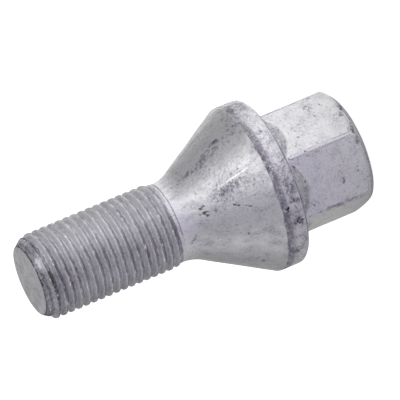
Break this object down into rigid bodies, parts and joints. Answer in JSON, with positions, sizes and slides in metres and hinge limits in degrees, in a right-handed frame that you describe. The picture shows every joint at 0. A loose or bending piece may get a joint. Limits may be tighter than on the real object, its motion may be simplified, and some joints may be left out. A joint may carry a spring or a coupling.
{
  "type": "wheel bolt",
  "caption": "One-piece wheel bolt with a hexagon head, a round collar, a 60 degree cone seat and a fine-threaded shank that screws into a wheel hub.",
  "frame": {"origin": "centre of the head's end face, which the bolt stands on", "axes": "+Z along the shank from the head to the tip; the hexagon has a corner on +X"},
  "size_m": [0.0314, 0.0314, 0.064],
  "materials": {
    "zinc_flake_steel": "dull zinc-flake coat on forged steel, mottled grey"
  },
  "bodies": {
    "root": {"wheel_bolt": "zinc_flake_steel"}
  },
  "joints": []
}
